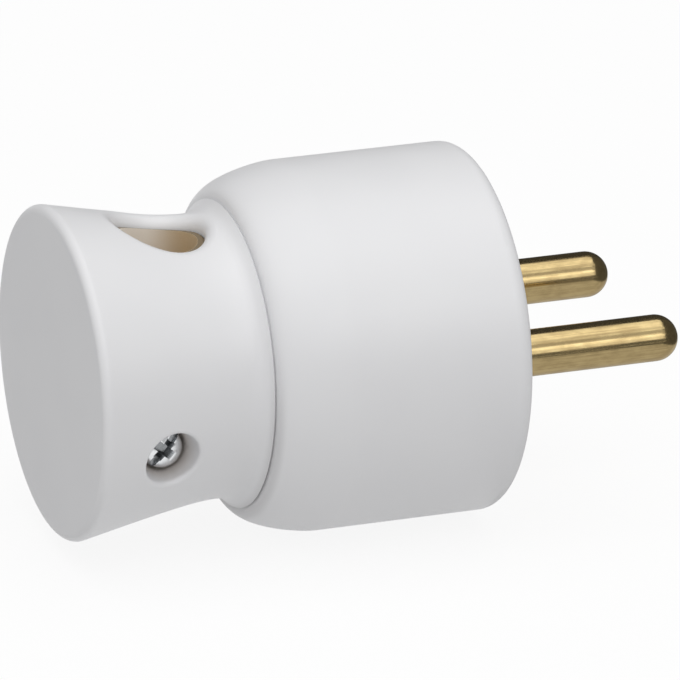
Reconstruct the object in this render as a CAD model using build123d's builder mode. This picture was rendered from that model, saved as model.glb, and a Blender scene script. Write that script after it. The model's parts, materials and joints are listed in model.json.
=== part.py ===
from build123d import *
import os
from math import cos, radians, sin, sqrt

# Angled plug: a round two-pole plug with an earth socket, and a cord outlet in the side of its neck.
# The pins point along +X out of the engagement face, which lies at x = 0. The pin line runs along Y
# and the cord leaves upwards, along +Z. All sizes are in millimetres.

# Pins and earth socket, as the wall socket asks
pin_dia = 4.8
pin_length = 19.0
pin_spacing = 19.0
earth_offset = 10.0
earth_bore_dia = 4.9
earth_bore_depth = 11.0

# Fits between pieces, on a side
mould_gap = 0.15
metal_gap = 0.05
slide_gap = 0.3
screw_gap = 0.2

# Front body: barrel, dome and front wall
front_wall = 4.0
barrel_wall = 4.25
barrel_length = 19.2
dome_length = 7.35
dome_fullness = 0.2
shoulder_fullness = 0.65
shoulder_land = 1.25
cavity_margin = 1.6
rim_rounding = 1.5
earth_entry_dia = 5.6
earth_entry_chamfer = 0.5

# Rear cover: spigot, neck and grip disc
spigot_length = 1.8
spigot_wall = 1.7
neck_wall = 1.7
parting_groove = 0.2
neck_bend_setback = 1.6
neck_bend_length = 1.0
front_flare = 1.2
rear_flare = 2.7
rear_wall = 2.5
rear_rounding = 0.8
end_room = 2.25

# Oval cord outlet with a bush in it, and the clamp behind it
outlet_length = 9.6
outlet_width = 8.9
outlet_setback = 7.2
outlet_rounding = 1.3
bush_wall = 0.6
bush_sink = 1.55
clamp_setback = 2.15
clamp_bar_thickness = 2.5
clamp_bar_height = 5.0
clamp_ridge = 0.8
clamp_ridge_height = 2.4
cheek_wall = 1.45
clamp_pilot_depth = 7.0
clamp_room = 1.0

# Cover screws, in wells on both sides of the neck
cover_screw_setback = 10.45
cover_screw_drop = 4.7
well_draft = 8.5
well_wall = 1.8
well_seat = 1.8
well_rounding = 0.4
nut_width = 5.5
nut_thickness = 2.4

# Contact carrier: plate, webs, cord bed and lugs
plate_thickness = 3.0
web_thickness = 2.6
web_height = 5.4
bed_wall = 2.6
lug_thickness = 3.6
lug_reach = 3.9
carrier_screw_angle = 48.5
carrier_screw_margin = 0.8
carrier_boss_wall = 1.15
carrier_pilot_depth = 4.8

# Turned brass pieces
root_rim = 0.4
collar_rim = 1.2
collar_thickness = 2.0
pillar_dia = 6.0
pillar_length = 11.0
wire_hole_dia = 3.2
wire_hole_setback = 6.5
sleeve_wall = 0.8
sleeve_collar_rim = 1.0
sleeve_slit = 0.8
sleeve_pillar_length = 6.0
spring_width = 1.6
spring_thickness = 0.6
spring_opening = 1.4
spring_setback = 1.0

# Screws, all with the same head, which has a slot right across and a shorter cross recess
screw_dia = 2.9
head_dia = 4.2
head_height = 1.9
terminal_screw_lift = 0.5
head_rounding = 0.5
slot_width = 0.8
slot_depth = 0.7
slot_turn = 49.0
recess_length = 2.6
recess_width = 0.9
recess_depth = 1.3

# Radii that follow from the pins outwards
pin_r = pin_dia / 2
pillar_r = pillar_dia / 2
root_r = pin_r + root_rim
collar_r = pin_r + collar_rim
screw_r = screw_dia / 2
sleeve_r = earth_bore_dia / 2 + sleeve_wall
spring_r = sleeve_r + metal_gap + spring_thickness
# The cavity clears the pins' collars and the earth sleeve's spring
cavity_r = max(pin_spacing / 2 + collar_r + cavity_margin, earth_offset + spring_r + slide_gap)
barrel_r = cavity_r + barrel_wall
shoulder_r = cavity_r + shoulder_land
spigot_r = cavity_r - mould_gap
bore_r = spigot_r - spigot_wall
waist_r = bore_r + neck_wall
crease_r = waist_r + front_flare
grip_r = waist_r + rear_flare
# The neck's curve is pulled towards this radius, so that it is waist_r at its middle
neck_pull_r = (8 * waist_r - crease_r - grip_r) / 6
tail_r = bore_r - mould_gap
outlet_half_length = outlet_length / 2
outlet_half_width = outlet_width / 2
bed_half_length = outlet_half_length - mould_gap - bush_wall
bed_half_width = outlet_half_width - mould_gap - bush_wall
head_r = head_dia / 2
thread_r = screw_r + metal_gap
clear_r = screw_r + screw_gap
well_r = head_r + screw_gap
carrier_boss_r = screw_r + carrier_boss_wall

# Stations along the axis, from the front face backwards
collar_back = -front_wall - collar_thickness
plate_back = collar_back - plate_thickness
joint_x = -barrel_length - dome_length
outlet_x = joint_x - outlet_setback
clamp_seat_x = outlet_x - clamp_setback
clamp_back = clamp_seat_x - clamp_bar_thickness
bore_end = clamp_back - head_height - end_room
rear_x = bore_end - rear_wall
neck_bend_x = joint_x - neck_bend_setback
cover_screw_x = joint_x - cover_screw_setback
bed_front = outlet_x + outlet_half_length + bed_wall
pillar_back = collar_back - pillar_length
earth_floor = -front_wall - earth_bore_depth
sleeve_back = earth_floor - sleeve_pillar_length

# Places across the axis
pin_y = pin_spacing / 2
lug_inner = outlet_half_width
lug_outer = lug_inner + lug_thickness
well_floor = lug_outer + mould_gap
head_seat = well_floor + well_seat
clamp_screw_y = outlet_half_width + cheek_wall + screw_r
clamp_screw_z = sqrt((tail_r - head_r) ** 2 - clamp_screw_y**2)
bed_bottom = clamp_screw_z - clamp_bar_height / 2 - clamp_room
bush_seat = clamp_screw_z + clamp_bar_height / 2 + slide_gap
carrier_screw_r = cavity_r - head_r - carrier_screw_margin
carrier_screw_y = carrier_screw_r * cos(radians(carrier_screw_angle))
carrier_screw_z = -carrier_screw_r * sin(radians(carrier_screw_angle))
notch_top = -earth_offset + sleeve_r + mould_gap
sides = {"near": -1, "far": 1}


def across(x):
    """Plane across the plug's axis at x, with Y to the right and Z up."""
    return Plane.YZ.offset(x)


def side_plane(side, y):
    """Plane at the cover screw's axis, facing outwards on one side of the neck."""
    return Plane(origin=(cover_screw_x, side * y, -cover_screw_drop), x_dir=(1, 0, 0), z_dir=(0, side, 0))


def finish(piece, label):
    """Names a finished piece and writes it as a file of its own."""
    piece.part.label = label
    export_step(piece.part, f"parts/{label}.step")


def write_screw(label, seat, length):
    """Screw whose head stands on the seat plane and whose shank goes in behind it."""
    with BuildPart() as screw:
        with BuildSketch(seat):
            Circle(head_r)
        extrude(amount=head_height)
        rim = screw.edges().filter_by(GeomType.CIRCLE).sort_by_distance(seat.offset(head_height).origin)[0]
        fillet(rim, head_rounding)
        with BuildSketch(seat):
            Circle(screw_r)
        extrude(amount=-length)
        with BuildSketch(seat.offset(head_height)):
            Rectangle(head_dia, slot_width, rotation=slot_turn)
        extrude(amount=-slot_depth, mode=Mode.SUBTRACT)
        with BuildSketch(seat.offset(head_height)):
            Rectangle(recess_length, recess_width, rotation=slot_turn)
            Rectangle(recess_width, recess_length, rotation=slot_turn)
        extrude(amount=-recess_depth, mode=Mode.SUBTRACT)
    finish(screw, label)


def write_pin(label, y):
    """Brass pin with a round tip, a root in the front wall, a collar behind it and a pillar for the wire."""
    axis = Axis((0, y, 0), (1, 0, 0))
    with BuildPart() as pin:
        with BuildSketch(Plane((0, y, 0))):
            with BuildLine():
                Polyline((pin_length, 0), (pillar_back, 0), (pillar_back, pillar_r), (collar_back, pillar_r))
                Polyline((collar_back, pillar_r), (collar_back, collar_r), (-front_wall, collar_r))
                Polyline((-front_wall, collar_r), (-front_wall, root_r), (0, root_r), (0, pin_r))
                Line((0, pin_r), (pin_length - pin_r, pin_r))
                RadiusArc((pin_length - pin_r, pin_r), (pin_length, 0), pin_r)
            make_face()
        revolve(axis=axis)
        wire_hole_x = collar_back - wire_hole_setback
        with BuildSketch(Plane((wire_hole_x, y, 0))):
            Circle(wire_hole_dia / 2)
        extrude(amount=pillar_dia, both=True, mode=Mode.SUBTRACT)
        with BuildSketch(across(pillar_back)):
            with Locations((y, 0)):
                Circle(thread_r)
        extrude(amount=wire_hole_x - pillar_back, mode=Mode.SUBTRACT)
    finish(pin, label)


def write_front_body():
    """Barrel and dome in one moulding, closed in front and open to the neck behind."""
    with BuildPart() as front_body:
        with BuildSketch(Plane.XY):
            with BuildLine():
                Polyline((joint_x, shoulder_r), (joint_x, cavity_r), (-front_wall, cavity_r), (-front_wall, 0))
                Polyline((-front_wall, 0), (0, 0), (0, barrel_r), (-barrel_length, barrel_r))
                Bezier(
                    (-barrel_length, barrel_r),
                    (-barrel_length - dome_fullness * dome_length, barrel_r),
                    (joint_x, shoulder_r + shoulder_fullness * (barrel_r - shoulder_r)),
                    (joint_x, shoulder_r),
                )
            make_face()
        revolve(axis=Axis.X)
        rim = front_body.edges().filter_by(GeomType.CIRCLE).group_by(Axis.X)[-1]
        fillet(rim, rim_rounding)

        carrier_bosses = [(s * carrier_screw_y, carrier_screw_z) for s in sides.values()]
        with BuildSketch(across(-front_wall)):
            with Locations(carrier_bosses):
                Circle(carrier_boss_r)
        extrude(amount=-collar_thickness)
        with BuildSketch(across(collar_back)):
            with Locations(carrier_bosses):
                Circle(thread_r)
        extrude(amount=carrier_pilot_depth, mode=Mode.SUBTRACT)

        with BuildSketch(across(0)):
            with Locations((-pin_y, 0), (pin_y, 0)):
                Circle(root_r + metal_gap)
            with Locations((0, -earth_offset)):
                Circle(earth_entry_dia / 2)
        extrude(amount=-front_wall, mode=Mode.SUBTRACT)
        entry = front_body.edges().group_by(Axis.X)[-1].sort_by_distance((0, 0, -earth_offset))[0]
        chamfer(entry, earth_entry_chamfer)
    finish(front_body, "front_body")


def neck_outline(sink):
    """Curve of the neck from its joint to the grip disc, at this depth below its surface."""
    Bezier(
        (joint_x - parting_groove, crease_r - sink),
        (neck_bend_x, neck_pull_r - sink),
        (neck_bend_x - neck_bend_length, neck_pull_r - sink),
        (rear_x, grip_r - sink),
    )


def write_rear_cover():
    """Neck and grip disc in one moulding, with a spigot that centres it in the front body."""
    well_r_outside = well_r + well_wall
    with BuildPart() as neck_hollow:
        with BuildSketch(across(joint_x + spigot_length)):
            Circle(bore_r)
        extrude(amount=bore_end - joint_x - spigot_length)
        for side in sides.values():
            with BuildSketch(side_plane(side, well_floor)):
                Circle(well_r_outside)
            extrude(amount=bore_r, mode=Mode.SUBTRACT)

    with BuildPart() as rear_cover:
        with BuildSketch(Plane.XY):
            with BuildLine():
                Polyline((rear_x, grip_r), (rear_x, 0), (joint_x + spigot_length, 0))
                Polyline((joint_x + spigot_length, 0), (joint_x + spigot_length, spigot_r), (joint_x, spigot_r))
                Polyline((joint_x, spigot_r), (joint_x, crease_r - parting_groove))
                Line((joint_x, crease_r - parting_groove), (joint_x - parting_groove, crease_r))
                neck_outline(0)
            make_face()
        revolve(axis=Axis.X)
        edge_of_grip = rear_cover.edges().filter_by(GeomType.CIRCLE).group_by(Axis.X)[0]
        fillet(edge_of_grip, rear_rounding)
        add(neck_hollow.part, mode=Mode.SUBTRACT)

        with BuildSketch(Plane((outlet_x, 0, 0))):
            Ellipse(outlet_half_length, outlet_half_width)
        extrude(amount=barrel_r, mode=Mode.SUBTRACT)
        outlet_lip = rear_cover.edges().sort_by_distance((outlet_x, 0, barrel_r))[0]
        fillet(outlet_lip, outlet_rounding)

        for side in sides.values():
            with BuildSketch(side_plane(side, head_seat)):
                Circle(well_r)
            extrude(amount=barrel_r - head_seat, taper=-well_draft, mode=Mode.SUBTRACT)
            with BuildSketch(side_plane(side, well_floor)):
                Circle(clear_r)
            extrude(amount=well_seat, mode=Mode.SUBTRACT)
            well_lip = rear_cover.edges().sort_by_distance(side_plane(side, barrel_r).origin)[0]
            fillet(well_lip, well_rounding)
    finish(rear_cover, "rear_cover")


def write_contact_carrier():
    """Plate that traps the pins, with a tail in the neck that beds the cord and takes the cover screws."""
    lug_bottom = -cover_screw_drop - lug_reach
    lug_front = cover_screw_x + lug_reach
    with BuildPart() as carrier:
        with BuildSketch(across(collar_back)):
            Circle(cavity_r - mould_gap)
        extrude(amount=-plate_thickness)

        with BuildSketch(across(plate_back)):
            for side in sides.values():
                with Locations((side * outlet_half_width, bed_bottom)):
                    Rectangle(web_thickness, web_height, align=(Align.MIN if side > 0 else Align.MAX, Align.MIN))
        extrude(amount=bed_front - plate_back)

        with BuildSketch(across(bed_front)):
            Circle(tail_r)
            with Locations((0, bed_bottom)):
                Rectangle(2 * tail_r, tail_r, align=(Align.CENTER, Align.MIN), mode=Mode.INTERSECT)
        extrude(amount=clamp_seat_x - bed_front)
        with BuildSketch(Plane((outlet_x, 0, bed_bottom))):
            Ellipse(bed_half_length, bed_half_width)
            Rectangle(2 * clamp_setback, 2 * bed_half_width, align=(Align.MAX, Align.CENTER))
        extrude(amount=tail_r, mode=Mode.SUBTRACT)
        with BuildSketch(Plane((outlet_x, 0, bush_seat))):
            Ellipse(outlet_half_length, outlet_half_width)
            Rectangle(2 * clamp_setback, outlet_width, align=(Align.MAX, Align.CENTER))
        extrude(amount=tail_r, mode=Mode.SUBTRACT)

        with BuildSketch(across(lug_front)):
            for side in sides.values():
                with Locations((side * lug_inner, lug_bottom)):
                    Rectangle(
                        lug_thickness,
                        bed_bottom - lug_bottom,
                        align=(Align.MIN if side > 0 else Align.MAX, Align.MIN),
                    )
            Circle(tail_r, mode=Mode.INTERSECT)
        extrude(amount=-2 * lug_reach)

        for side in sides.values():
            with BuildSketch(side_plane(side, lug_inner)):
                Circle(clear_r)
            extrude(amount=lug_thickness, mode=Mode.SUBTRACT)
            with BuildSketch(side_plane(side, lug_inner)):
                Rectangle(nut_width + 2 * mould_gap, nut_width + 2 * mould_gap)
            extrude(amount=nut_thickness, mode=Mode.SUBTRACT)

        with BuildSketch(across(collar_back)):
            with Locations((-pin_y, 0), (pin_y, 0)):
                Circle(pillar_r + mould_gap)
            with Locations((0, notch_top)):
                Rectangle(2 * (sleeve_r + mould_gap), cavity_r, align=(Align.CENTER, Align.MAX))
            with Locations([(s * carrier_screw_y, carrier_screw_z) for s in sides.values()]):
                Circle(clear_r)
        extrude(amount=-plate_thickness, mode=Mode.SUBTRACT)
        with BuildSketch(across(clamp_seat_x)):
            with Locations([(s * clamp_screw_y, clamp_screw_z) for s in sides.values()]):
                Circle(thread_r)
        extrude(amount=clamp_pilot_depth, mode=Mode.SUBTRACT)
    finish(carrier, "contact_carrier")


def write_cord_clamp():
    """Bar across the back of the cord bed, with a ridge that bites into the cord."""
    ridge_length = 2 * (bed_half_width - slide_gap)
    with BuildPart() as cord_clamp:
        with BuildSketch(across(clamp_seat_x)):
            Circle(tail_r)
            with Locations((0, clamp_screw_z)):
                Rectangle(2 * tail_r, clamp_bar_height, mode=Mode.INTERSECT)
            with Locations([(s * clamp_screw_y, clamp_screw_z) for s in sides.values()]):
                Circle(clear_r, mode=Mode.SUBTRACT)
        extrude(amount=-clamp_bar_thickness)
        with BuildSketch(across(clamp_seat_x)):
            with Locations((0, clamp_screw_z)):
                SlotOverall(ridge_length, clamp_ridge_height)
        extrude(amount=clamp_ridge)
    finish(cord_clamp, "cord_clamp")


def write_cord_bush():
    """Sleeve in the outlet that keeps the cord off the cover's edge, with a top that follows the neck."""
    bush_front = joint_x - parting_groove
    with BuildPart() as cord_bush:
        with BuildSketch(Plane.XY):
            with BuildLine():
                neck_outline(bush_sink)
                Polyline((rear_x, grip_r - bush_sink), (rear_x, 0), (bush_front, 0))
                Line((bush_front, 0), (bush_front, crease_r - bush_sink))
            make_face()
        revolve(axis=Axis.X)
        with BuildSketch(Plane((outlet_x, 0, bush_seat))):
            Ellipse(outlet_half_length - mould_gap, outlet_half_width - mould_gap)
            Ellipse(bed_half_length, bed_half_width, mode=Mode.SUBTRACT)
        extrude(amount=barrel_r, mode=Mode.INTERSECT)
    finish(cord_bush, "cord_bush")


def write_earth_sleeve():
    """Brass socket for the earth pin, slit along its length, with a pillar for the wire at the back."""
    bore_wall = earth_bore_dia / 2
    sleeve_collar_r = sleeve_r + sleeve_collar_rim
    axis = Axis((0, 0, -earth_offset), (1, 0, 0))
    with BuildPart() as sleeve:
        with BuildSketch(Plane((0, 0, -earth_offset))):
            with BuildLine():
                Polyline((earth_floor, 0), (earth_floor, bore_wall), (-front_wall, bore_wall))
                Polyline((-front_wall, bore_wall), (-front_wall, sleeve_collar_r), (collar_back, sleeve_collar_r))
                Polyline((collar_back, sleeve_collar_r), (collar_back, sleeve_r), (sleeve_back, sleeve_r))
                Polyline((sleeve_back, sleeve_r), (sleeve_back, 0), (earth_floor, 0))
            make_face()
        revolve(axis=axis)
        with BuildSketch(Plane((collar_back, 0, -earth_offset))):
            Rectangle(collar_back - earth_floor - sleeve_wall, sleeve_slit, align=(Align.MAX, Align.CENTER))
        extrude(amount=sleeve_collar_r, both=True, mode=Mode.SUBTRACT)
        wire_hole_x = (earth_floor + sleeve_back) / 2
        with BuildSketch(Plane((wire_hole_x, 0, -earth_offset))):
            Circle(wire_hole_dia / 2)
        extrude(amount=sleeve_collar_r, both=True, mode=Mode.SUBTRACT)
        with BuildSketch(across(sleeve_back)):
            with Locations((0, -earth_offset)):
                Circle(thread_r)
        extrude(amount=wire_hole_x - sleeve_back, mode=Mode.SUBTRACT)
    finish(sleeve, "earth_sleeve")


def write_earth_spring():
    """Open steel ring that keeps the two halves of the slit sleeve closed on the earth pin."""
    inside = sleeve_r + metal_gap
    with BuildPart() as spring:
        with BuildSketch(across(plate_back - spring_setback)):
            with Locations((0, -earth_offset)):
                Circle(spring_r)
                Circle(inside, mode=Mode.SUBTRACT)
                Rectangle(
                    spring_opening, 2 * inside, align=(Align.CENTER, Align.MIN), mode=Mode.SUBTRACT
                )
        extrude(amount=-spring_width)
    finish(spring, "earth_spring")


def write_cover_nut(label, side):
    """Square nut in the pocket on the inner face of a lug."""
    with BuildPart() as nut:
        with BuildSketch(side_plane(side, lug_inner)):
            Rectangle(nut_width, nut_width)
            Circle(thread_r, mode=Mode.SUBTRACT)
        extrude(amount=nut_thickness)
    finish(nut, label)


def axial_seat(x, y, z):
    """Seat of a screw that is driven from behind, along +X."""
    return Plane(origin=(x, y, z), x_dir=(0, 1, 0), z_dir=(-1, 0, 0))


def write_screws():
    """Every screw on its own seat: cover, clamp, carrier and terminals."""
    for name, side in sides.items():
        write_screw(f"cover_screw_{name}", side_plane(side, head_seat), head_seat - lug_inner)
        write_screw(
            f"clamp_screw_{name}",
            axial_seat(clamp_back, side * clamp_screw_y, clamp_screw_z),
            clamp_bar_thickness + clamp_pilot_depth - screw_gap,
        )
        write_screw(
            f"carrier_screw_{name}",
            axial_seat(plate_back, side * carrier_screw_y, carrier_screw_z),
            plate_thickness + carrier_pilot_depth - screw_gap,
        )
    pillar_screw_reach = pillar_length - wire_hole_setback - wire_hole_dia / 2
    sleeve_screw_reach = (sleeve_pillar_length - wire_hole_dia) / 2
    terminals = {
        "line_terminal_screw": (pillar_back, -pin_y, 0, pillar_screw_reach),
        "neutral_terminal_screw": (pillar_back, pin_y, 0, pillar_screw_reach),
        "earth_terminal_screw": (sleeve_back, 0, -earth_offset, sleeve_screw_reach),
    }
    for label, (x, y, z, reach) in terminals.items():
        write_screw(
            label,
            axial_seat(x - terminal_screw_lift, y, z),
            terminal_screw_lift + reach,
        )


os.makedirs("parts", exist_ok=True)
write_front_body()
write_rear_cover()
write_contact_carrier()
write_pin("line_pin", -pin_y)
write_pin("neutral_pin", pin_y)
write_earth_sleeve()
write_earth_spring()
write_cord_clamp()
write_cord_bush()
for side_name, side_sign in sides.items():
    write_cover_nut(f"cover_nut_{side_name}", side_sign)
write_screws()
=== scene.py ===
# %% [markdown]
# # An angled mains plug
# A white plug with two brass pins in front and a cord outlet in the top of its neck. Its pieces come ready
# shaped from the CAD frame, so this lesson is about the rest: the camera, a small photo studio, a finish for
# every material, and the screws, which get a real cross recess and a thread.

# %% Load the frame
import json
from math import cos, pi, radians, sin

import bpy
from mathutils import Matrix, Vector


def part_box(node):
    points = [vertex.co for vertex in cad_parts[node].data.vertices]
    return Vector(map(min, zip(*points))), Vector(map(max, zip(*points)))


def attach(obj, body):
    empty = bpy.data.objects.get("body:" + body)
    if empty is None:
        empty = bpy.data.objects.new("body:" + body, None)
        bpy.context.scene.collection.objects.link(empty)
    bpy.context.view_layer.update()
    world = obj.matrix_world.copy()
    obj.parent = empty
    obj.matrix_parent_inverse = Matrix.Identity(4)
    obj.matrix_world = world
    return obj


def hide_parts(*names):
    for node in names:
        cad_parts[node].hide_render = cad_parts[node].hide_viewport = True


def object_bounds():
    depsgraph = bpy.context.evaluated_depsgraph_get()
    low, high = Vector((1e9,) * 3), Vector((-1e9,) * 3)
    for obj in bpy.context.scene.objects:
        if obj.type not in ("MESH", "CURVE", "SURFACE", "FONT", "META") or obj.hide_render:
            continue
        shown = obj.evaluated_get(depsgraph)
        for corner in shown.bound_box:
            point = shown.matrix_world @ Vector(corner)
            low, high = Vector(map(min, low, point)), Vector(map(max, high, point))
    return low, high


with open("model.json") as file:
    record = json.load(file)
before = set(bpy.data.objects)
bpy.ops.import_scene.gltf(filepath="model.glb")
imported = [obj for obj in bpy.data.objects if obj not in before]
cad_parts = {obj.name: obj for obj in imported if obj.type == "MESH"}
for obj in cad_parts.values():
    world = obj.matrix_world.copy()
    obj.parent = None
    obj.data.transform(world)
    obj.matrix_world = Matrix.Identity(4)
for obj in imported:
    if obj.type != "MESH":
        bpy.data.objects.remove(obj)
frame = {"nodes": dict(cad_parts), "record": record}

MM = 0.001
cad_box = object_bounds()
print("CAD nodes:", len(frame["nodes"]))
print("box in mm:", [[round(c / MM, 2) for c in corner] for corner in cad_box])

# %% [markdown]
# ## The camera
# The plug was photographed from a little above and a little behind, with a long lens, so that near and far
# ends look almost the same size. A camera can be placed by eye, but here it is worked out: a point that it
# looks at, a direction from there, a distance and a slight roll. A long lens far away keeps ellipses flat.

# %% Place the camera
VIEW_POINT = Vector((-14.13, -0.31, 0.04)) * MM
VIEW_AZIMUTH = radians(-20.68)
VIEW_ELEVATION = radians(21.38)
VIEW_ROLL = radians(1.0)
VIEW_DISTANCE = 847.1 * MM
LENS_MM = 441.4
SENSOR_MM = 36.0
FAR_LIMIT = 20


def direction(azimuth, elevation):
    """Unit vector towards an azimuth, counted from the near side, and an elevation."""
    return Vector((sin(azimuth) * cos(elevation), -cos(azimuth) * cos(elevation), sin(elevation)))


back = direction(VIEW_AZIMUTH, VIEW_ELEVATION)
level = Vector((cos(VIEW_AZIMUTH), sin(VIEW_AZIMUTH), 0))
right = Matrix.Rotation(VIEW_ROLL, 3, back) @ level
up = back.cross(right)

bpy.ops.object.select_all(action="DESELECT")
bpy.ops.object.camera_add()
camera = bpy.context.object
camera.name = "photo_camera"
camera.data.lens = LENS_MM
camera.data.sensor_width = SENSOR_MM
camera.data.clip_end = FAR_LIMIT
turn = Matrix((right, up, back)).transposed().to_4x4()
camera.matrix_world = Matrix.Translation(VIEW_POINT + VIEW_DISTANCE * back) @ turn
bpy.context.scene.camera = camera
bpy.context.scene.view_settings.view_transform = "Standard"
print("camera at", [round(c, 3) for c in camera.matrix_world.translation], "lens", LENS_MM)

# %% [markdown]
# ## Shader maths
# A material is a small network of nodes. Writing `noise * 0.2 + 0.4` is easier to read than adding and
# linking Math nodes by hand, so one class wraps a socket: sums and products of sockets make the Math nodes,
# and one method makes any other node.


# %% A socket that knows arithmetic
class Wire:
    """A socket in a node tree. Arithmetic on it adds Math nodes to that tree."""

    def __init__(self, tree, socket=None):
        self.tree = tree
        self.socket = socket

    def node(self, kind, settings, sockets, output=0):
        """Adds a node, makes its settings, then fills its sockets with values or links."""
        made = self.tree.nodes.new("ShaderNode" + kind)
        for name, value in settings.items():
            setattr(made, name, value)
        for key, value in sockets.items():
            if isinstance(value, Wire):
                self.tree.links.new(value.socket, made.inputs[key])
            else:
                made.inputs[key].default_value = value
        return Wire(self.tree, made.outputs[output]) if made.outputs else made

    def math(self, operation, first, second):
        return self.node("Math", {"operation": operation}, {0: first, 1: second})

    def __add__(self, other):
        return self.math("ADD", self, other)

    def __radd__(self, other):
        return self.math("ADD", other, self)

    def __sub__(self, other):
        return self.math("SUBTRACT", self, other)

    def __rsub__(self, other):
        return self.math("SUBTRACT", other, self)

    def __mul__(self, other):
        return self.math("MULTIPLY", self, other)

    def __rmul__(self, other):
        return self.math("MULTIPLY", other, self)


print("wires can be added, subtracted and multiplied")

# %% [markdown]
# ## The sky
# In a light tent, dim and even light comes from all round. A world of one grey would do that, but then the
# background would be grey too. So the camera and mirrors see white, and rays that carry light see less.

# %% Sky, white for the camera and dim for the light
SKY_LIGHT = 0.52
WHITE = (1, 1, 1, 1)


def seen_directly(wire):
    """1 for rays from the camera, and for those that mirrors and glass send on."""
    flags = ("Is Camera Ray", "Is Glossy Ray", "Is Transmission Ray")
    path = [wire.node("LightPath", {}, {}, flag) for flag in flags]
    return wire.math("MAXIMUM", wire.math("MAXIMUM", path[0], path[1]), path[2])


world = bpy.data.worlds.new("studio_sky")
bpy.context.scene.world = world
world.use_nodes = True
world.node_tree.nodes.clear()
sky = Wire(world.node_tree)
dim = sky.node("Background", {}, {"Color": WHITE, "Strength": SKY_LIGHT})
white = sky.node("Background", {}, {"Color": WHITE, "Strength": 1.0})
mixed = sky.node("MixShader", {}, {0: seen_directly(sky), 1: dim, 2: white})
sky.node("OutputWorld", {}, {"Surface": mixed})
print("sky light", SKY_LIGHT)

# %% [markdown]
# ## The ground
# The plug lies on white paper. Paper that is lit to pure white would throw much light back at the plug and
# take the shade from its belly. So the paper is grey for the light, and glows a little. To the camera it is
# white, with enough of its own shading left to show the plug's shadow.


# %% A new material, and noise for it
def new_material(name):
    """An empty material, and a wire to build its nodes with."""
    material = bpy.data.materials.new(name)
    material.use_nodes = True
    material.node_tree.nodes.clear()
    return material, Wire(material.node_tree)


def finish_material(wire, shader):
    wire.node("OutputMaterial", {}, {"Surface": shader})


def object_place(wire, stretch=(1, 1, 1)):
    """Object coordinates, stretched along the axes."""
    place = wire.node("TexCoord", {}, {}, "Object")
    return wire.node("Mapping", {}, {"Vector": place, "Scale": stretch})


def grain(wire, place, size, detail=2.0):
    """Noise from 0 to 1 with grains of about this size."""
    return wire.node("TexNoise", {}, {"Vector": place, "Scale": 1 / size, "Detail": detail}, "Fac")


print("materials start empty, and their noise lies in object coordinates")

# %% Ground, level with the barrel's lowest line
GROUND_SIZE = 6.0
GROUND_GREY = 0.56
GROUND_WHITE = 0.95
GROUND_GLOW = 0.88
TABLE_GLOW = 0.2
FIBRE_SIZE = 0.02
FIBRE_TONE = 0.02

ground_z = cad_box[0][2]
bpy.ops.object.select_all(action="DESELECT")
bpy.ops.mesh.primitive_plane_add(size=GROUND_SIZE, location=(0, 0, ground_z))
ground = bpy.context.object
ground.name = "ground"
paper, wire = new_material("ground_paper")
fibres = grain(wire, object_place(wire), FIBRE_SIZE)
direct = seen_directly(wire)
tone = GROUND_GREY + (GROUND_WHITE - GROUND_GREY) * direct + FIBRE_TONE * fibres
matt = wire.node("BsdfPrincipled", {}, {"Base Color": tone, "Roughness": 0.9})
glow = wire.node("Emission", {}, {"Color": WHITE, "Strength": 1.0})
share = TABLE_GLOW + (GROUND_GLOW - TABLE_GLOW) * direct
finish_material(wire, wire.node("MixShader", {}, {0: share, 1: matt, 2: glow}))
ground.data.materials.append(paper)
print("ground at z", round(ground_z / MM, 2), "mm")

# %% [markdown]
# ## The lamp
# White plastic on a white ground needs shade to show its form. A small lamp would give hard shadows, so one
# broad lamp hangs above, a little towards the camera. Metal doesn't see it: a card stands in for it there.

# %% The lamp above
LAMP_POWER = 6.4
LAMP_SIZE = 1.3
LAMP_DISTANCE = 0.95
LAMP_AZIMUTH = radians(-13)
LAMP_ELEVATION = radians(72)

to_lamp = direction(LAMP_AZIMUTH, LAMP_ELEVATION)
bpy.ops.object.light_add(type="AREA")
lamp = bpy.context.object
lamp.name = "broad_lamp"
lamp.data.energy = LAMP_POWER
lamp.data.size = LAMP_SIZE
lamp.location = VIEW_POINT + LAMP_DISTANCE * to_lamp
lamp.rotation_euler = to_lamp.to_track_quat("Z", "Y").to_euler()
lamp.visible_glossy = False
print("lamp of", LAMP_POWER, "W at", [round(c, 3) for c in lamp.location])

# %% [markdown]
# ## Cards for the reflections
# Polished metal shows what stands around it. The pins show a bright band, a thin streak beside a darker line,
# and dark edges and tips. Painted on, these would look wrong from any other side. So cards stand around the
# plug, as in a studio, each with a tone from 0, which is black, upwards. Only reflections can see them.

# %% Cards: place in metres, size, tilt in degrees, tone
CARDS = {
    "lamp_card": ((-0.08, -0.28, 0.86), (1.3, 1.3), (18, 0, -13), 1.15),
    "soft_card": ((0.28, -0.26, 0.69), (0.9, 0.16), (20, 0, 0), 0.78),
    "back_card": ((0.2, 0.5, 0.45), (1.8, 0.95), (90, 0, 0), 0.05),
    "side_card": ((0.6, 0.0, 0.45), (1.6, 0.95), (90, 0, 90), 0.08),
    "low_front_card": ((0.35, -1.0, 0.10), (1.2, 0.28), (90, 0, 0), 0.12),
    "streak_card": ((0.3, -0.7, 0.47), (0.9, 0.15), (56, 0, 0), 1.6),
    "dip_card": ((0.28, -0.5, 0.61), (0.9, 0.24), (40, 0, 0), 0.47),
    "table_card": ((0.295, -0.1, -0.0185), (0.59, 1.2), (0, 0, 0), 0.46),
    "tip_card": ((0.33, 0.0, -0.0183), (0.55, 0.8), (0, 0, 0), 0.08),
    "rear_table_card": ((-0.323, 0.315, -0.0185), (0.554, 0.67), (0, 0, 0), 0.3),
}

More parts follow.
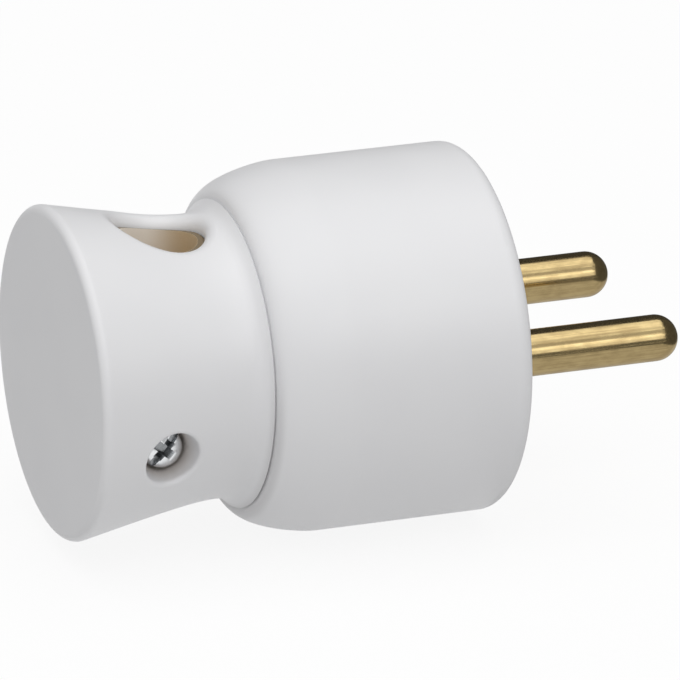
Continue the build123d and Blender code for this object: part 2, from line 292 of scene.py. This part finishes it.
for name, (place, size, tilt, tone) in CARDS.items():
    bpy.ops.object.select_all(action="DESELECT")
    bpy.ops.mesh.primitive_plane_add(size=1, location=place, rotation=[radians(angle) for angle in tilt])
    card = bpy.context.object
    card.name = name
    card.scale = (*size, 1)
    felt, wire = new_material(name + "_felt")
    finish_material(wire, wire.node("Emission", {}, {"Color": WHITE, "Strength": tone}))
    card.data.materials.append(felt)
    card.visible_camera = False
    card.visible_diffuse = False
    card.visible_transmission = False
    card.visible_shadow = False
print("cards:", ", ".join(CARDS))

# %% [markdown]
# ## White moulding
# The two halves of the housing are moulded in white plastic with a satin skin. Plain white paint would do for
# a toy, but a moulding has a faint orange-peel grain, slow changes of gloss where the plastic flowed, and a
# trace of blue. Noises of different size give these. In the joint where the halves meet, more below than
# above, and in the screw wells, the colour is painted a little darker, warmer in the wells: painted shade.


# %% Limits, colours and relief
def coordinate(wire, axis):
    """One of the three object coordinates."""
    return wire.node("SeparateXYZ", {}, {"Vector": wire.node("TexCoord", {}, {}, "Object")}, axis)


def from_axis(wire, axes, middle, reach=(1, 1)):
    """Distance from a line through the piece, counted in reaches along two of the axes."""
    part = [(coordinate(wire, axes[k]) - middle[k]) * (1 / reach[k]) for k in (0, 1)]
    return wire.math("SQRT", part[0] * part[0] + part[1] * part[1], 0)


def rise(wire, value, low, high):
    """0 up to the first limit, 1 from the second, smooth between them."""
    limits = {"Value": value, "From Min": low, "From Max": high}
    return wire.node("MapRange", {"interpolation_type": "SMOOTHSTEP"}, limits)


def blend(wire, share, first, second):
    """Colour between two colours, each of them three numbers or a wire."""
    ends = [end if isinstance(end, Wire) else (*end, 1) for end in (first, second)]
    return wire.node("Mix", {"data_type": "RGBA"}, {0: share, 6: ends[0], 7: ends[1]}, 2)


def relief(wire, height, depth):
    """Bump from a height of 0 to 1 that stands for this depth."""
    return wire.node("Bump", {}, {"Height": height, "Distance": depth, "Strength": 1.0})


print("a share from 0 to 1 can now fade one colour into another")

# %% White moulding
PLASTIC = ((0.79, 0.79, 0.805), (0.82, 0.82, 0.83))
FLOW_SIZE = 9 * MM
SKIN_SIZE = 0.35 * MM
SKIN_DEPTH = 0.003 * MM
# painted shade: the joint between the halves is painted darker, more towards the bottom
JOINT_X = -26.55 * MM
JOINT_REACH = (0.1 * MM, 0.8 * MM)
JOINT_HEIGHT = (-6 * MM, 10 * MM)
JOINT_SHADE = 0.35
JOINT_PAINTED_SHADE = (0.42, 0.41, 0.41)
# painted shade: the screw wells are painted darker and warmer
WELL_PLACE = (-37.0 * MM, -4.7 * MM)
WELL_REACH = (2.3 * MM, 2.9 * MM)
WELL_PAINTED_SHADE = (0.74, 0.68, 0.63)

finishes = {}
finishes["white_moulding"], wire = new_material("white_moulding")
place = object_place(wire)
flow = grain(wire, place, FLOW_SIZE, 1.0)
skin = grain(wire, place, SKIN_SIZE, 3.0)
# painted shade near the joint, stronger towards the bottom
near = 1 - rise(wire, wire.math("ABSOLUTE", coordinate(wire, "X") - JOINT_X, 0), *JOINT_REACH)
below = 1 - rise(wire, coordinate(wire, "Z"), *JOINT_HEIGHT)
# painted shade in the screw wells
in_well = 1 - rise(wire, from_axis(wire, "XZ", WELL_PLACE), *WELL_REACH)
colour = blend(wire, in_well, blend(wire, flow, *PLASTIC), WELL_PAINTED_SHADE)
# the base colour carries the painted shade of the joint
shader = wire.node(
    "BsdfPrincipled",
    {},
    {
        "Base Color": blend(wire, JOINT_SHADE * near * below, colour, JOINT_PAINTED_SHADE),
        "Roughness": 0.34 + 0.08 * flow + 0.04 * skin,
        "Normal": relief(wire, skin, SKIN_DEPTH),
        "IOR": 1.5,
    },
)
finish_material(wire, shader)
print("white_moulding has", len(wire.tree.nodes), "nodes")

# %% [markdown]
# ## Tan moulding
# The carrier that holds the contacts is a filled plastic, matt and tan, with a fine speckle of the filler. A
# picture of such plastic could be wrapped round it, but noise has no seams and no end.

# %% Tan moulding
TAN = ((0.58, 0.43, 0.25), (0.70, 0.55, 0.36))
TAN_CLOUD = 4 * MM
SPECK_SIZE = 0.25 * MM
SPECK_DEPTH = 0.01 * MM


def speckled(wire, dark, bright):
    """A colour between these two, in clouds and specks, and the specks for the gloss and the relief."""
    place = object_place(wire)
    cloud = grain(wire, place, TAN_CLOUD)
    specks = grain(wire, place, SPECK_SIZE, 4.0)
    return blend(wire, 0.5 * cloud + 0.5 * specks, dark, bright), specks


def matt_plastic(wire, colour, specks):
    sockets = {
        "Base Color": colour,
        "Roughness": 0.62 + 0.1 * specks,
        "Normal": relief(wire, specks, SPECK_DEPTH),
    }
    finish_material(wire, wire.node("BsdfPrincipled", {}, sockets))


finishes["tan_moulding"], wire = new_material("tan_moulding")
matt_plastic(wire, *speckled(wire, *TAN))
print("tan_moulding has", len(wire.tree.nodes), "nodes")

# %% [markdown]
# ## Tan with painted light and shade
# The bush in the cord outlet is of the same plastic, a little darker. Its rear half is painted lighter, as
# painted light, and its top edge is painted dark brown, as painted shade. Faces could be painted for that,
# but limits on Object coordinates leave the mesh as it is: one along X for the painted light, and an oval a
# little wider than the bore for the painted shade on the edge.

# %% Tan with painted light and shade
BUSH_TAN = ((0.5344, 0.3964, 0.2296), (0.640, 0.502, 0.3264))
# painted light: the rear half of the bush is painted towards this pale tan
PAINTED_LIGHT_TAN = (0.96, 0.91, 0.83)
PAINTED_LIGHT_REACH = (-34 * MM, -30 * MM)
# painted shade: the top edge of the bush is painted this dark brown
EDGE_PAINTED_SHADE = (0.16, 0.12, 0.07)
EDGE_REACH = (1.001, 1.006)
BUSH_WALL = 0.6 * MM

low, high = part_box("cord_bush")
bush_middle = [(low[axis] + high[axis]) / 2 for axis in (0, 1)]
bush_bore = [(high[axis] - low[axis]) / 2 - BUSH_WALL for axis in (0, 1)]
tan_painted_light_and_shade, wire = new_material("tan_painted_light_and_shade")
colour, specks = speckled(wire, *BUSH_TAN)
# painted light: 1 over the rear half of the bush, fading out towards the front
painted_light = 1 - rise(wire, coordinate(wire, "X"), *PAINTED_LIGHT_REACH)
# painted shade: 1 on the bush's top edge outside the bore, 0 on the bore's wall
edge = rise(wire, from_axis(wire, "XY", bush_middle, bush_bore), *EDGE_REACH)
colour = blend(wire, 0.9 * painted_light, colour, PAINTED_LIGHT_TAN)
colour = blend(wire, 0.9 * edge, colour, EDGE_PAINTED_SHADE)
matt_plastic(wire, colour, specks)
print("bore of the bush in mm:", [round(2 * reach / MM, 2) for reach in bush_bore])

# %% [markdown]
# ## Turned brass
# The pins are turned from drawn rod and polished. What is left of the drawing are hairlines along the rod, so
# the noise is stretched along X, the pins' own direction. Hands have left a light tarnish on it, in small
# clouds that are browner and less bright.

# %% Turned brass
BRIGHT_BRASS = (0.82, 0.63, 0.31)
TARNISHED_BRASS = (0.62, 0.46, 0.22)
TARNISH_REACH = (0.35, 0.65)
TARNISH_SIZE = 0.9 * MM
HAIRLINE_SIZE = 0.12 * MM
HAIRLINE_DEPTH = 0.0016 * MM

finishes["turned_brass"], wire = new_material("turned_brass")
hairline = grain(wire, object_place(wire, (0.02, 1, 1)), HAIRLINE_SIZE, 3.0)
cloud = grain(wire, object_place(wire, (0.5, 1, 1)), TARNISH_SIZE, 3.0)
tarnish = rise(wire, 0.4 * hairline + 0.6 * cloud, *TARNISH_REACH)
shader = wire.node(
    "BsdfPrincipled",
    {},
    {
        "Base Color": blend(wire, tarnish, BRIGHT_BRASS, TARNISHED_BRASS),
        "Metallic": 1.0,
        "Roughness": 0.09 + 0.10 * hairline + 0.08 * tarnish,
        "Normal": relief(wire, hairline, HAIRLINE_DEPTH),
    },
)
finish_material(wire, shader)
print("turned_brass has", len(wire.tree.nodes), "nodes")

# %% [markdown]
# ## Zinc and spring steel
# The screws and nuts are steel with a bright zinc coat, a little blue and a little cloudy. Down in the recess
# of the cover screws the colour is painted dark grey, as painted shade. The ring on the earth sleeve is bare
# spring steel, darker and less polished. One function makes them all, so that they stay of one family.

# %% Zinc and spring steel
ZINC_CLOUD = 0.8 * MM
SCRATCH_SIZE = 0.1 * MM
SCRATCH_DEPTH = 0.001 * MM
# painted shade: the colour down in the cover screws' recess
RECESS_PAINTED_SHADE = (0.30, 0.31, 0.32)
RECESS_FADE = (0.2 * MM, 0.35 * MM)


def plated_steel(name, dark, bright, gloss, recess=None):
    """Recess: where it starts and ends, counted from the middle plane of the plug."""
    material, wire = new_material(name)
    cloud = grain(wire, object_place(wire), ZINC_CLOUD, 3.0)
    scratch = grain(wire, object_place(wire, (1, 0.08, 1)), SCRATCH_SIZE, 2.0)
    colour = blend(wire, cloud, dark, bright)
    # painted shade in the recess, between its foot and its mouth
    if recess:
        foot, mouth = recess
        outward = wire.math("ABSOLUTE", coordinate(wire, "Y"), 0)
        deep = rise(wire, outward, foot, foot + RECESS_FADE[0])
        deep = deep * (1 - rise(wire, outward, mouth - RECESS_FADE[1], mouth))
        colour = blend(wire, deep, colour, RECESS_PAINTED_SHADE)
    shader = wire.node(
        "BsdfPrincipled",
        {},
        {
            "Base Color": colour,
            "Metallic": 1.0,
            "Roughness": gloss + 0.12 * cloud + 0.06 * scratch,
            "Normal": relief(wire, scratch, SCRATCH_DEPTH),
        },
    )
    finish_material(wire, shader)
    return material


finishes["zinc_steel"] = plated_steel("zinc_steel", (0.66, 0.68, 0.70), (0.82, 0.83, 0.84), 0.17)
finishes["spring_steel"] = plated_steel("spring_steel", (0.36, 0.37, 0.39), (0.48, 0.49, 0.51), 0.3)
print("finishes:", ", ".join(finishes))

# %% [markdown]
# ## Dressing the pieces
# The record names a material slot for every piece, so one loop can dress them all, and a piece that is added
# later gets its finish too. Only the bush has a finish of its own.

# %% Dress every node by its slot
own_finish = {"cord_bush": tan_painted_light_and_shade}
slot_of = {piece["node"]: piece["material_slot"] for piece in frame["record"]["subparts"]}
for node, slot in slot_of.items():
    solid = frame["nodes"][node]
    solid.data.materials.clear()
    solid.data.materials.append(own_finish.get(node, finishes[slot]))
print({slot: list(slot_of.values()).count(slot) for slot in finishes})

# %% [markdown]
# ## The cover screws
# A pan head with a slot right across and a shorter cross recess holds the cover on each side. The CAD screws
# have both, with straight walls and a smooth shank. A finer one takes their place, with a crown, a round
# rim, a tapered cross, broken edges and a thread. It is made once, upright with its seat at the origin, and
# copied. Its width and its length are read from the CAD screw.

# %% Sizes of a screw
HEAD_HEIGHT = 1.9 * MM
HEAD_CROWN = 0.25 * MM
HEAD_ROUNDING = 0.5 * MM
SHANK_RADIUS = 1.45 * MM
THREAD_PITCH = 0.5 * MM
THREAD_DEPTH = 0.25 * MM

low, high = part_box("cover_screw_near")
head_radius = (high[0] - low[0]) / 2
shank_length = high[1] - low[1] - HEAD_HEIGHT
head_seat = -low[1] - HEAD_HEIGHT
print("head", round(2 * head_radius / MM, 2), "mm across, shank", round(shank_length / MM, 2), "mm long")

# %% [markdown]
# ## Turning the blank
# The blank is round about one axis. It could be stacked up from cylinders, but one outline that is spun, as
# on a lathe, gives the crown, the rim and the shank in a single closed skin. A plane is merged to one point,
# and that point is extruded from corner to corner. A crown falls with the square of the radius, so halfway
# out it has lost a quarter of its height.


# %% The outline, in the XZ plane
def screw_outline():
    """From the crown's middle over the rim and down to the tip."""
    core = SHANK_RADIUS - THREAD_DEPTH
    rim = head_radius - HEAD_ROUNDING
    arc = [radians(angle) for angle in range(15, 91, 15)]
    points = [(0, HEAD_HEIGHT), (0.5 * rim, HEAD_HEIGHT - 0.25 * HEAD_CROWN), (rim, HEAD_HEIGHT - HEAD_CROWN)]
    points += [
        (rim + HEAD_ROUNDING * sin(a), HEAD_HEIGHT - HEAD_CROWN - HEAD_ROUNDING * (1 - cos(a))) for a in arc
    ]
    points += [(head_radius, 0), (core, 0), (core, -shank_length + core / 2), (core / 2, -shank_length)]
    return points + [(0, -shank_length)]


outline = screw_outline()
print("outline with", len(outline), "corners")

# %% Spin it round Z
ROUND_STEPS = 72
MERGE_REACH = 0.001 * MM

bpy.ops.object.select_all(action="DESELECT")
bpy.ops.mesh.primitive_plane_add(size=MM)
master = bpy.context.object
master.name = "screw_master"
bpy.ops.object.mode_set(mode="EDIT")
bpy.ops.mesh.select_mode(type="VERT")
bpy.ops.mesh.select_all(action="SELECT")
bpy.ops.mesh.merge(type="CENTER")
here = Vector((0, 0, 0))
for number, (radius, height) in enumerate(outline):
    there = Vector((radius, 0, height))
    if number == 0:
        bpy.ops.transform.translate(value=there)
    else:
        bpy.ops.mesh.extrude_region_move(TRANSFORM_OT_translate={"value": there - here})
    here = there
bpy.ops.mesh.select_all(action="SELECT")
bpy.ops.mesh.spin(steps=ROUND_STEPS, angle=2 * pi, center=(0, 0, 0), axis=(0, 0, 1))
bpy.ops.mesh.select_all(action="SELECT")
bpy.ops.mesh.remove_doubles(threshold=MERGE_REACH)
bpy.ops.mesh.normals_make_consistent(inside=False)
bpy.ops.object.mode_set(mode="OBJECT")
print("the blank has", len(master.data.polygons), "faces")

# %% [markdown]
# ## Slot and cross
# The recess takes a flat driver or a cross one. It could be modelled face by face into the crown, but blocks
# cut it out as a punch does. A punch tapers, so that it comes out again: the block's lower face is selected
# by its normal and made smaller.

# %% Cut the slot and the cross
SLOT_SIZE = (5.0 * MM, 0.8 * MM, 1.5 * MM)
SLOT_TAPER = (1, 0.9, 1)
CROSS_SIZE = (3.2 * MM, 1.15 * MM, 3.0 * MM)
CROSS_TAPER = (0.5, 0.7, 1.0)
SLOT_TURN = radians(49)


def cut_block(piece, size, taper, turn):
    """Cuts a block, narrower at its foot, out of the head's top."""
    bpy.ops.object.select_all(action="DESELECT")
    bpy.ops.mesh.primitive_cube_add(size=1)
    block = bpy.context.object
    block.dimensions = size
    bpy.ops.object.transform_apply(location=False, rotation=False, scale=True)
    bpy.ops.object.mode_set(mode="EDIT")
    bpy.ops.mesh.select_mode(type="FACE")
    bpy.ops.mesh.select_all(action="DESELECT")
    bpy.ops.object.mode_set(mode="OBJECT")
    for face in block.data.polygons:
        face.select = face.normal.z < -0.5
    bpy.ops.object.mode_set(mode="EDIT")
    bpy.ops.transform.resize(value=taper, center_override=(0, 0, -size[2] / 2))
    bpy.ops.object.mode_set(mode="OBJECT")
    block.rotation_euler = (0, 0, turn)
    block.location = (0, 0, HEAD_HEIGHT)
    bpy.ops.object.transform_apply(location=True, rotation=True, scale=True)

    bpy.context.view_layer.objects.active = piece
    cut = piece.modifiers.new("cut", "BOOLEAN")
    cut.operation = "DIFFERENCE"
    cut.object = block
    bpy.ops.object.modifier_apply(modifier=cut.name)
    bpy.data.objects.remove(block, do_unlink=True)


cut_block(master, SLOT_SIZE, SLOT_TAPER, SLOT_TURN)
cut_block(master, CROSS_SIZE, CROSS_TAPER, SLOT_TURN)
cut_block(master, CROSS_SIZE, CROSS_TAPER, SLOT_TURN + pi / 2)
print("with slot and cross it has", len(master.data.polygons), "faces")

# %% [markdown]
# ## Broken edges
# No edge of a plated screw is quite sharp, and a thin line of light along its edges is what makes metal look
# solid. A Bevel modifier that goes by angle finds them all, so that none has to be selected.

# %% Break the edges
BROKEN_EDGE = 0.06 * MM
SHARP_FROM = radians(40)

bpy.context.view_layer.objects.active = master
edge = master.modifiers.new("edge", "BEVEL")
edge.width = BROKEN_EDGE
edge.segments = 2
edge.limit_method = "ANGLE"
edge.angle_limit = SHARP_FROM
bpy.ops.object.modifier_apply(modifier=edge.name)
print("with broken edges it has", len(master.data.polygons), "faces")

# %% [markdown]
# ## The thread
# Rings round the shank would pass for a thread from afar, but a real one climbs. So a three-cornered ridge
# goes through a Screw modifier, which winds it up round Z by one pitch a turn. Its two ends are then closed.
# The height of such a triangle is one and a half times its radius.

# %% Wind the thread
THREAD_STEPS = 24

ridge_radius = THREAD_DEPTH * 2 / 3
bpy.ops.object.select_all(action="DESELECT")
bpy.ops.mesh.primitive_circle_add(vertices=3, radius=ridge_radius, rotation=(pi / 2, pi / 2, 0))
ridge = bpy.context.object
ridge.location = (SHANK_RADIUS - ridge_radius, 0, -shank_length + SHANK_RADIUS)
bpy.ops.object.transform_apply(location=True, rotation=True, scale=True)
wind = ridge.modifiers.new("wind", "SCREW")
wind.steps = THREAD_STEPS
wind.render_steps = THREAD_STEPS
wind.screw_offset = THREAD_PITCH
wind.iterations = int((shank_length - 2 * SHANK_RADIUS) / THREAD_PITCH)
print("thread of", wind.iterations, "turns")
bpy.ops.object.modifier_apply(modifier=wind.name)
bpy.ops.object.mode_set(mode="EDIT")
bpy.ops.mesh.select_all(action="SELECT")
bpy.ops.mesh.fill_holes(sides=3)
bpy.ops.mesh.select_all(action="SELECT")
bpy.ops.mesh.normals_make_consistent(inside=False)
bpy.ops.object.mode_set(mode="OBJECT")

# %% Join it to the shank
SMOOTH_UP_TO = radians(35)

bpy.ops.object.select_all(action="DESELECT")
ridge.select_set(True)
master.select_set(True)
bpy.context.view_layer.objects.active = master
bpy.ops.object.join()
bpy.ops.object.shade_smooth_by_angle(angle=SMOOTH_UP_TO)
print("with its thread it has", len(master.data.polygons), "faces")

# %% [markdown]
# ## A screw for each side
# Each side gets a copy with a mesh of its own. It is tipped over, so that its head points outwards, and moved
# to the place of the CAD screw that it replaces. Its place then goes into its mesh, so that the finish lies
# right. The finish is zinc with painted shade in the recess, for which it has to know how far out the head
# sits.

# %% Copy the screw and seat it
RECESS_MOUTH = 0.4 * MM

recess = (head_seat, head_seat + HEAD_HEIGHT - RECESS_MOUTH)
# the head's finish paints shade into its recess
head_zinc = plated_steel("zinc_head", (0.70, 0.72, 0.74), (0.88, 0.89, 0.90), 0.15, recess)
for node, side in {"cover_screw_near": -1, "cover_screw_far": 1}.items():
    bpy.ops.object.select_all(action="DESELECT")
    master.select_set(True)
    bpy.context.view_layer.objects.active = master
    bpy.ops.object.duplicate(linked=False)
    screw = bpy.context.object
    screw.name = node + "_detail"
    low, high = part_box(node)
    outer = low[1] if side < 0 else high[1]
    screw.rotation_euler = (-side * pi / 2, 0, 0)
    screw.location = ((low[0] + high[0]) / 2, outer - side * HEAD_HEIGHT, (low[2] + high[2]) / 2)
    bpy.ops.object.transform_apply(location=True, rotation=True, scale=True)
    screw.data.materials.clear()
    screw.data.materials.append(head_zinc)
    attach(screw, "root")
    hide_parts(node)
    print(screw.name, "has", len(screw.data.polygons), "faces")
bpy.data.objects.remove(master, do_unlink=True)
